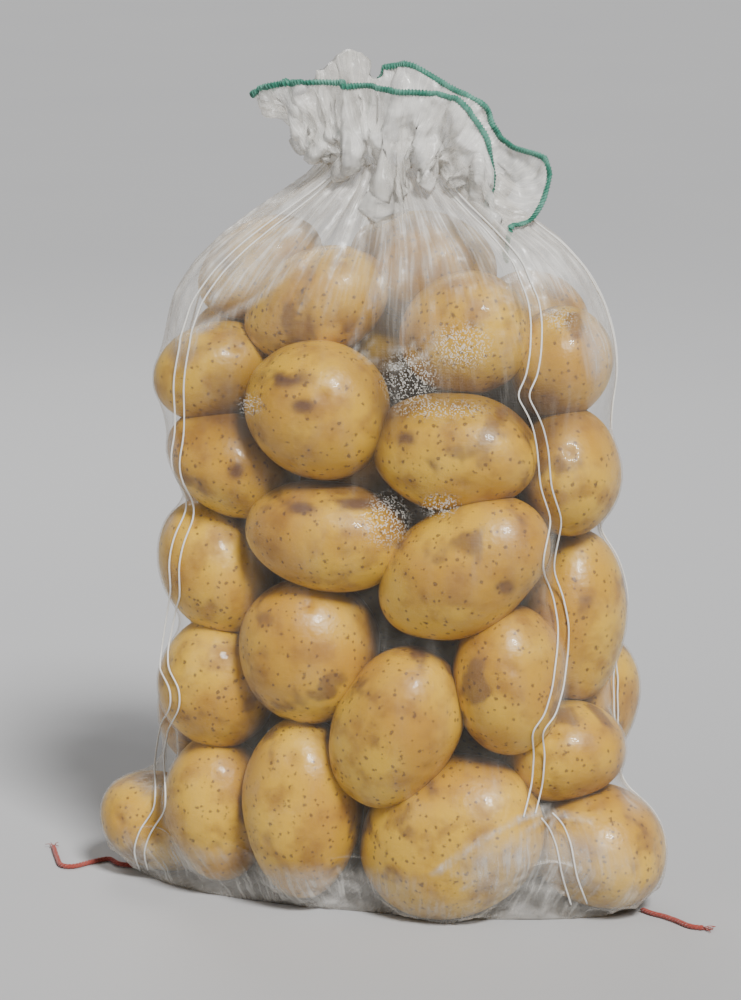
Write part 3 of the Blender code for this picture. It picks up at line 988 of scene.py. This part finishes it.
# %% Creases and patches on the cloth
def distance_to_line(pixels, line):
    """How far each pixel is from a line of corners."""
    nearest = np.full(pixels.shape[:-1], np.inf)
    for start, end in zip(np.array(line[:-1], float), np.array(line[1:], float)):
        along = end - start
        share = np.clip(((pixels - start) @ along) / (along @ along), 0, 1)
        across = pixels - (start + share[..., None] * along)
        nearest = np.minimum(nearest, norm(across, axis=-1))
    return nearest


normal = outward(rows)
seen_at = to_photo(rows * MM)
below_neck = (np.arange(len(rows)) < NECK_ROW)[:, None]
shown = facing_camera(normal) * below_neck
uneven = noise_at(rows, 14, 5.5)
crease = np.zeros(rows.shape[:2])
haze = np.zeros(rows.shape[:2])
for height, half_width, whiteness, line in CREASES:
    ridge = eased(-distance_to_line(seen_at, line) / half_width, -1, 0) * shown
    ridge *= 0.7 + 0.5 * uneven
    crease = np.maximum(crease, height * ridge)
    haze = np.maximum(haze, whiteness * ridge)
rows = rows + normal * crease[:, :, None]

for *oval, whiteness in HAZES:
    patch = eased(-ovals_from(seen_at, [oval]), -1, -0.3) * (0.8 + 0.4 * uneven)
    haze = np.maximum(haze, whiteness * patch * shown)

glitter = eased(-ovals_from(seen_at, GLITTERS), -1, -0.2) * shown
print("creases raise", int((crease > 0.2).sum()), "points of the cloth")

# %% Haze from how the cloth lies
SLACK_REACH = 14.0
SLACK_HAZE = 0.04
SHOULDER_Z = (272, 326)
SHOULDER_HAZE = 0.30
STREAK_AND_HIGHLIGHT_HAZE = 0.55
FOOT_TOP = 26
FOOT_HAZE = 0.38
HEAD_HAZE = 0.62
RIDGE_HAZE = 0.60
RIDGE_HEIGHTS = (-1.5, 3.0)
WRINKLE_HAZE = 0.03
BUNCH_HAZE = 0.02
LOWEST_ROW = 0.05

slack = np.array([touching.find_nearest(Vector(point))[3] or 0 for point in rows.reshape(-1, 3)])
slack = slack.reshape(rows.shape[:2])
shoulder = eased(rows[:, :, 2], *SHOULDER_Z) * below_neck
foot = 1 - eased(rows[:, :, 2] + 12 * noise_at(rows, 16, 1.0), 0, FOOT_TOP)
foot *= 0.8 + 0.12 * at_foot * puckers
# milky streaks up the shoulders along the pleats, also a painted highlight for their glossy streaks
streaks = 0.5 + 0.3 * np.cos(37 * TURN + 2 * noise_at(rows, 50, 4.0))
streaks += 0.2 * np.cos(59 * TURN + 2 * noise_at(rows, 30, 8.0))
wrinkles = eased(ridges_at(rows, 26, 7.0, (1, 1, 0.5)), 0.25, 0.5)
bunched = eased(noise_at(rows, 9, 2.0, (1, 1, 0.08)), -0.1, 0.5)
lie = SLACK_HAZE * eased(slack, 1.0, SLACK_REACH) + FOOT_HAZE * foot
lie += shoulder * (SHOULDER_HAZE + STREAK_AND_HIGHLIGHT_HAZE * streaks)
in_head = HEAD_HAZE + RIDGE_HAZE * eased(crumple, *RIDGE_HEIGHTS)
lie = np.where(up_head > 0, in_head, lie)
lie += WRINKLE_HAZE * wrinkles + BUNCH_HAZE * bunched
haze = np.maximum(haze, lie) + 0.35 * np.minimum(haze, lie)
haze = np.clip(haze * (0.75 + 0.35 * bunched), 0, 1)
rows[:, :, 2] = np.maximum(rows[:, :, 2], LOWEST_ROW)
print(f"the cloth clings on {(slack < 1.5).mean():.0%} of its points")

# %% [markdown]
# ## The cloth itself
#
# A flat grid with a UV map is the sheet as it was woven. Each of its points goes to its place
# in the pattern of rows. Its two sides and its bottom meet, and Merge by Distance sews them.
# Solidify makes it a real wall with two sides.

# %% Wrap a grid into the sack
CLOTH_THICKNESS = 0.30 * MM
LOWEST = 0.02 * MM


def wrapped(name, pattern, attributes=()):
    """A grid primitive whose points take their places from a pattern of rows, in millimetres."""
    tall, wide = pattern.shape[0] - 1, pattern.shape[1]
    bpy.ops.mesh.primitive_grid_add(x_subdivisions=wide, y_subdivisions=tall, size=1)
    obj = bpy.context.object
    obj.name = name
    obj.data.name = name
    flat = points_of(obj)
    column = np.rint((flat[:, 0] + 0.5) * wide).astype(int) % wide
    row = np.rint((flat[:, 1] + 0.5) * tall).astype(int)
    move_points(obj, pattern[row, column] * MM)
    for label, values in attributes:
        paint(obj, label, values[row, column])
    edit_all(obj, (bpy.ops.mesh.remove_doubles, {"threshold": 0.02 * MM}))
    bpy.ops.object.shade_smooth()
    return obj


cloth = wrapped("sack_cloth_sheer", rows, (("haze", haze), ("glitter", glitter)))
cloth_tree = BVHTree.FromPolygons(
    [vertex.co for vertex in cloth.data.vertices],
    [tuple(face.vertices) for face in cloth.data.polygons],
)
apply_modifier(cloth, "SOLIDIFY", thickness=CLOTH_THICKNESS, offset=-1.0)
lifted = points_of(cloth)
lifted[:, 2] = np.maximum(lifted[:, 2], LOWEST)
move_points(cloth, lifted)
cloth.data.calc_loop_triangles()
print("the cloth has", len(cloth.data.loop_triangles), "triangles")

# %% [markdown]
# Where the potatoes press on each other, away from the cloth, their skins are painted darker:
# this is painted shade, for the dark gaps deep in the sack. Each point of a skin keeps a number
# for how far the cloth is from it. Under the slack shoulders the cloth is far from every skin,
# so there the number fades to nothing.

# %% Painted shade in the hollows
HOLLOW_FROM = 3 * MM
HOLLOW_TO = 15 * MM
SLACK_ABOVE = (0.225, 0.265)

for potato in potatoes:
    places = points_of(potato)
    gaps = [cloth_tree.find_nearest(Vector(point))[3] for point in places]
    slack_above = eased(places[:, 2], *SLACK_ABOVE)
    # painted shade: darker the farther the cloth is, fading out under the slack shoulders
    paint(potato, "painted_hollow_shade", eased(gaps, HOLLOW_FROM, HOLLOW_TO) * (1 - slack_above))
print("painted_shade on", len(potatoes), "potatoes")

# %% [markdown]
# Sheer cloth is mostly holes. Its alpha is the share of thread: two sets of thin threads that
# cross, drawn on the UV map so that they follow the cloth. Slack or crushed cloth gets more
# from the haze painted on its points, in milky streaks that run up it, which are painted
# highlights. Tiny squares glint in the gaps between potatoes. Cloth also looks denser the
# flatter it is seen, which Layer Weight gives.

# %% Sheer cloth
THREAD_PITCH = 1.15 * MM
WHITE = (0.84, 0.79, 0.70)
MILKY = (0.97, 0.95, 0.90)
CLEAR_ALPHA = 0.004
THREAD_ALPHA = 0.022
HAZE_ALPHA = 0.58
EDGE_ALPHA = 0.62
EDGE_BLEND = 0.25
EDGE_POWER = 2.4
GLINT_SIZE = 0.50 * MM
GLINT_ALPHA = 0.42
GLINTS_IN_GAPS = 0.74
GLINTS_ON_HAZE = 0.965
STREAK_WIDTH = 2.2 * MM
STREAK_LENGTH = 22 * MM
MOST_ALPHA = 0.96

sheer = Finish("sheer_cloth")
uv = sheer.node("UVMap", {"uv_map": "UVMap"}, output="UV")


def laid_out(across, along):
    """The cloth's own flat coordinates, in steps of this many metres."""
    size = (CIRCUMFERENCE / across, LAID_LENGTH / along, 1)
    return sheer.node("Mapping", values={"Vector": uv, "Scale": size}, output="Vector")


woven = laid_out(THREAD_PITCH, THREAD_PITCH)
across = sheer.node("SeparateXYZ", values={"Vector": woven}, output="X")
along = Socket(sheer, across.socket.node.outputs["Y"])
warp = (across * (2 * math.pi)).math("SINE").step(-0.1, 0.9)
weft = (along * (2 * math.pi)).math("SINE").step(-0.1, 0.9)
threads = warp.math("MAXIMUM", weft)

hazy = sheer.attribute("haze")
edge = sheer.node("LayerWeight", values={"Blend": EDGE_BLEND}, output="Facing")
edge = edge.math("POWER", EDGE_POWER)
cells = sheer.node("VectorMath", {"operation": "FLOOR"}, {0: laid_out(GLINT_SIZE, GLINT_SIZE)})
chance = sheer.node("TexWhiteNoise", values={"Vector": cells}, output="Value")
glints = (chance > GLINTS_IN_GAPS) * sheer.attribute("glitter")
glints += (chance > GLINTS_ON_HAZE) * hazy * 0.6

# painted highlights: thin streaks along the cloth that make the haze whiter and denser
along_cloth = laid_out(STREAK_WIDTH, STREAK_LENGTH)
highlight_streaks = sheer.noise(1.0, detail=1, at=along_cloth).step(0.44, 0.68)
milk_and_highlights = hazy * (0.66 + 0.66 * highlight_streaks)
alpha = CLEAR_ALPHA + THREAD_ALPHA * threads + HAZE_ALPHA * milk_and_highlights + EDGE_ALPHA * edge
sheer.set(
    Base_Color=sheer.blend(hazy, WHITE, MILKY),
    Alpha=(alpha + GLINT_ALPHA * glints).math("MINIMUM", MOST_ALPHA),
    Roughness=0.32 - 0.14 * glints - 0.10 * hazy,
)
creased = sheer.noise(190, detail=0)
sheer.bump(creased * (0.8 + 1.6 * hazy), 0.8 * MM)
sheer.on(cloth)
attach(cloth, "root")
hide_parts("sack_cloth")
print("a cloth of", len(sheer.tree.nodes), "nodes")

# %% [markdown]
# ## The green hem
#
# The mouth is finished with an overlock stitch. A narrow rolled band is a strip along the rim,
# and the green thread is one long coil that winds round it.

# %% Green hem
HEM_WIDTH = 2.6
HEM_THICKNESS = 0.9
HEM_LOOP = 1.5
HEM_THREAD = 0.26 * MM
HEM_SHARES = (-0.45, 0.0, 0.45)
LOOP_UP = 0.58 * HEM_WIDTH
LOOP_OUT = 0.85 * HEM_THICKNESS
STEPS_PER_LOOP = 8

green = Finish("green_overlock", roughness=0.55)
strand = green.noise(900, detail=3)
patchy = green.noise(120, detail=2).step(0.35, 0.7)
green_colour = green.blend(strand, (0.006, 0.085, 0.052), (0.022, 0.29, 0.185))
green.set(Base_Color=green.blend(patchy * 0.35, green_colour, (0.30, 0.62, 0.50)))
green.set(Sheen_Weight=0.3)
green.bump(strand, 0.3 * MM)

rim = rows[LAST_ROW]
rise = rows[LAST_ROW] - rows[LAST_ROW - 3]
rise = (np.roll(rise, 1, axis=0) + rise + np.roll(rise, -1, axis=0)) / 3
rise /= norm(rise, axis=1)[:, None]
aside = outward(rows)[LAST_ROW]
band_rows = np.array([rim + rise * (share * HEM_WIDTH) for share in HEM_SHARES])
band = wrapped("hem_band", band_rows + aside * HEM_THICKNESS / 2)
apply_modifier(band, "SOLIDIFY", thickness=HEM_THICKNESS * MM, offset=-1.0)

travelled = travelled_along(np.vstack((rim, rim[:1])))
loops = round(travelled[-1] / HEM_LOOP)
at = np.linspace(0, travelled[-1], loops * STEPS_PER_LOOP, endpoint=False)


def along_rim(values):
    return points_at(at, travelled, np.vstack((values, values[:1])))


angle = (at / travelled[-1] * loops * 2 * math.pi)[:, None]
coil = along_rim(rim) + along_rim(rise) * LOOP_UP * np.cos(angle)
coil += along_rim(aside) * LOOP_OUT * np.sin(angle)
stitches = tubes("hem_stitches", [coil * MM], HEM_THREAD, closed=True)
for piece in (band, stitches):
    green.on(piece)
    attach(piece, "root")
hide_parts("hem_binding")
print(f"the hem is {travelled[-1]:.0f} mm round, with {loops} stitches")

# %% [markdown]
# ## The marker threads
#
# Pairs of thicker white threads are woven into the cloth, two pairs on each face. At the front
# their lines are drawn on the photograph, and a ray from the camera through each pixel finds
# the thread's place on the cloth. From its first pixel a long thread runs on to the neck, up
# its own column. Those at the back, which doesn't show, run up the same columns of that face.

# %% Marker threads, as lines of pixels
RIGHT_PAIR = (
    ((513, 262), (521, 283), (528, 300), (531, 323), (530, 353), (526, 377), (516, 396), (526, 411),
     (533, 427), (537, 449), (540, 487), (551, 520), (543, 558), (542, 571), (553, 596), (558, 625),
     (557, 648), (552, 688), (544, 716), (531, 732), (534, 753), (532, 782), (523, 818)),
    ((523, 262), (531, 283), (539, 300), (542, 323), (541, 353), (537, 377), (527, 396), (536, 411),
     (543, 427), (548, 449), (551, 487), (562, 520), (554, 558), (553, 571), (563, 596), (569, 625),
     (568, 648), (563, 688), (555, 716), (541, 732), (545, 753), (543, 782), (535, 814)),
)
CORNER_PAIR = (
    ((541, 818), (549, 827), (557, 847), (562, 875), (572, 907)),
    ((552, 813), (563, 823), (571, 843), (577, 877), (588, 905)),
)
LEFT_PAIR = (
    ((172, 590), (160, 629), (159, 668), (171, 689), (171, 709), (158, 727), (154, 757), (156, 790),
     (155, 809), (139, 831), (133, 852), (141, 872)),
    ((181, 594), (169, 631), (168, 668), (180, 689), (180, 709), (169, 727), (164, 757), (166, 790),
     (166, 811), (150, 833), (143, 853), (149, 872)),
)
BACK_COLUMNS = (0.512, 0.519, 0.945, 0.952)
print(len(RIGHT_PAIR + LEFT_PAIR + CORNER_PAIR), "lines are drawn")

# %% Threads on the cloth
MARKER_RADIUS = 0.40 * MM
MARKER_LIFT = 0.25 * MM
PIXEL_STEP = 3.0
THREADS_END = NECK_ROW - 4
WAVER = 1.2
WAVER_ROWS = 9


def on_cloth(up, column):
    """Points just above the cloth at these rows and columns, in metres."""
    return rows[up, column] * MM + outward(rows)[up, column] * MARKER_LIFT


def drawn_thread(pixels, onward):
    """A thread on the cloth, under a line drawn on the photograph."""
    pixels = np.array(pixels, float)
    travelled = travelled_along(pixels)
    line = points_at(np.arange(0, travelled[-1], PIXEL_STEP), travelled, pixels)
    found = []
    for pixel in smoothed(line, 6):
        place, normal, _, _ = cloth_tree.ray_cast(Vector(EYE), sight_line(pixel))
        if place is not None:
            found.append(place + normal.normalized() * MARKER_LIFT)
    found = np.array(found)
    if onward:
        away = norm(rows * MM - found[0], axis=2)
        row, column = np.unravel_index(away.argmin(), away.shape)
        found = np.vstack((on_cloth(np.arange(THREADS_END, row + 2, -1), column), found))
    return smoothed(found, 2)


def woven_thread(share):
    """A thread up a column of the cloth, from the base to the neck."""
    up = np.arange(BASE_ROWS + 2, THREADS_END)
    column = np.round(share * COLUMNS + WAVER * np.sin(up / WAVER_ROWS)).astype(int) % COLUMNS
    return smoothed(on_cloth(up, column), 3)


lines = [drawn_thread(line, onward=True) for pair in (RIGHT_PAIR, LEFT_PAIR) for line in pair]
lines += [drawn_thread(line, onward=False) for line in CORNER_PAIR]
lines += [woven_thread(share) for share in BACK_COLUMNS]
markers = tubes("marker_threads", lines, MARKER_RADIUS)
print(len(lines), "marker threads")

# %% White thread
white = Finish("marker_thread", roughness=0.5)
ply = white.noise(1100, detail=2)
white.set(Base_Color=white.blend(ply, (0.74, 0.72, 0.66), (0.93, 0.92, 0.88)), Sheen_Weight=0.2)
white.bump(ply, 0.2 * MM)
white.on(markers)
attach(markers, "root")
print(len(markers.data.polygons), "faces of white thread")

# %% [markdown]
# ## Floor and light
#
# The floor is a plain pale sheet. The main light is a broad soft sun above the camera and to
# its right, which gives each potato its highlight. A weaker light comes from the left, and one
# from behind lights the cloth's edges.

# %% Floor
FLOOR_SIZE = 30.0
bpy.ops.mesh.primitive_plane_add(size=FLOOR_SIZE, location=(0, 0, 0))
floor = bpy.context.object
floor.name = "floor"
edit_all(floor, (bpy.ops.mesh.subdivide, {"number_cuts": 1}))
pale = Finish("pale_floor", roughness=0.8)
pale.set(Base_Color=pale.blend(pale.noise(3, detail=3), (0.49, 0.49, 0.50), (0.52, 0.52, 0.52)))
pale.on(floor)
floor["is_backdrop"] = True
print(f"a floor of {FLOOR_SIZE:.0f} m")

# %% Lights
LIT_POINT = (0, 0, 0.18)
SUN_DIRECTION = (38, 46)
SUN_DISTANCE = 2.0
SUN_SPREAD = 13
SUN_STRENGTH = 4.5
SOFT_LIGHTS = (
    # name, azimuth, elevation, distance, size, watts
    ("fill", -45, 22, 1.6, 0.9, 3),
    ("back_left", -150, 38, 1.5, 0.6, 6),
)
SKY = 0.18


def add_light(kind, name, azimuth, elevation, distance):
    """A light that faces the middle of the sack, in this direction from it."""
    away = Vector(direction(math.radians(azimuth), math.radians(elevation)))
    bpy.ops.object.light_add(type=kind, location=Vector(LIT_POINT) + away * distance)
    light = bpy.context.object
    light.name = name
    light.rotation_euler = away.to_track_quat("Z", "Y").to_euler()
    return light.data


sun = add_light("SUN", "key", *SUN_DIRECTION, SUN_DISTANCE)
sun.angle = math.radians(SUN_SPREAD)
sun.energy = SUN_STRENGTH
for *place, size, watts in SOFT_LIGHTS:
    light = add_light("AREA", *place)
    light.size = size
    light.energy = watts

world = bpy.data.worlds.new("studio")
world.use_nodes = True
sky = world.node_tree.nodes["Background"].inputs
sky["Color"].default_value = (1.0, 1.0, 1.0, 1.0)
sky["Strength"].default_value = SKY
bpy.context.scene.world = world
print(len(SOFT_LIGHTS) + 1, "lights")

# %% [markdown]
# A ray may cross many layers of cloth in the crushed head, so it is let through more of them
# than by default. Two bounces are enough for light between matt things.

# %% Light paths
paths = bpy.context.scene.cycles
paths.transparent_max_bounces = 16
paths.max_bounces = 4
paths.diffuse_bounces = 2
paths.glossy_bounces = 1
print("light crosses up to", paths.transparent_max_bounces, "layers of cloth")

VISUAL_BOX = [list(map(float, corner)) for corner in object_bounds()]
for name, low, high in (("CAD", *CAD_BOX), ("visual", *VISUAL_BOX)):
    print(name, "box", np.round(np.array(low) * 1000, 1), np.round(np.array(high) * 1000, 1))
